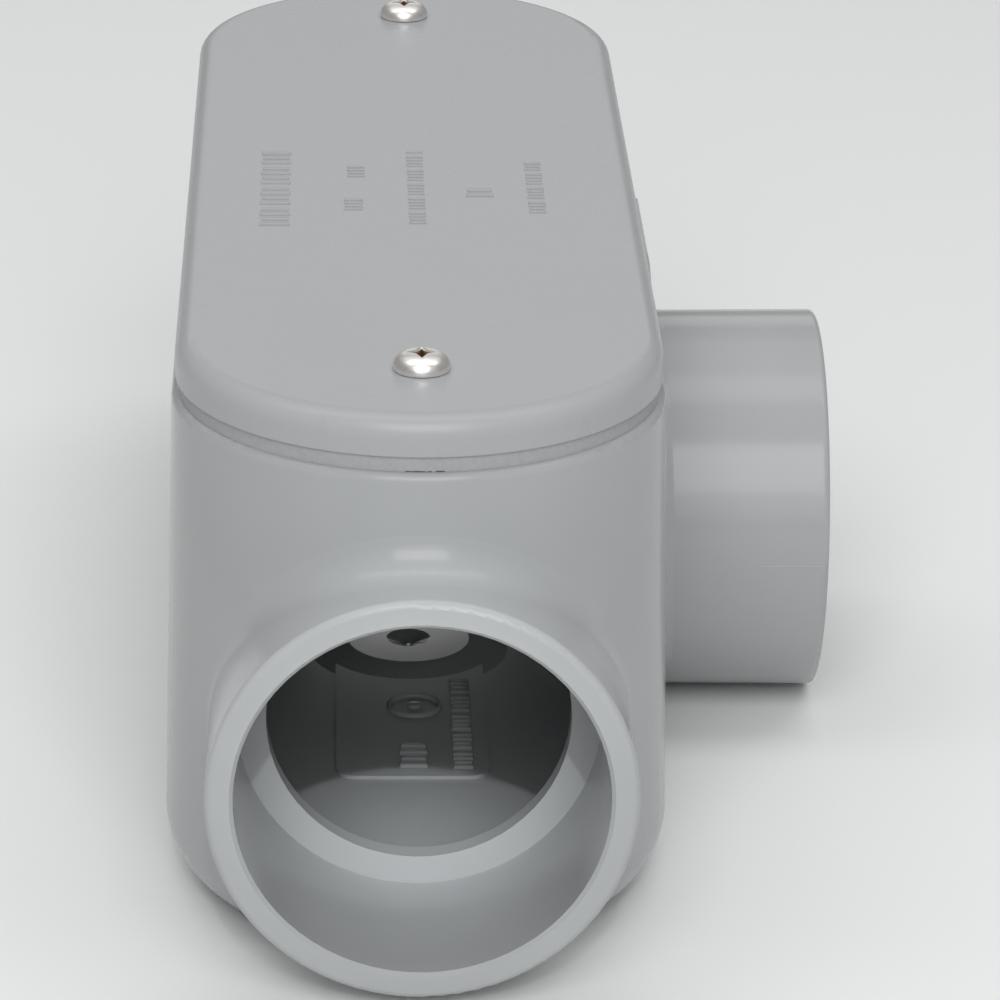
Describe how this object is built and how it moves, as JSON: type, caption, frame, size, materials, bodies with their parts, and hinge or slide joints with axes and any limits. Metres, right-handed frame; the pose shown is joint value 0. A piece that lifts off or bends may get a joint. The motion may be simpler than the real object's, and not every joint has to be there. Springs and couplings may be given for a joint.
{
  "type": "conduit body",
  "caption": "Grey plastic T-type conduit body: long rounded junction box with conduit sockets at its ends and side, and a gasketed screw-down cover.",
  "frame": {"origin": "on the flat back of the body, at mid length, under the axis of the two end sockets", "axes": "+X towards the side socket, Y along the body with the front socket at -Y, +Z from the back to the cover"},
  "size_m": [0.0946, 0.2254, 0.081],
  "materials": {
    "body_pvc": "semi-matte moulded",
    "cover_pvc": "semi-matte moulded",
    "gasket_foam": "matte",
    "screw_steel": "bright nickel-plated"
  },
  "bodies": {
    "root": {"body": "body_pvc", "gasket": "gasket_foam", "cover": "cover_pvc", "cover_screw_front": "screw_steel", "cover_screw_rear": "screw_steel"}
  },
  "joints": []
}
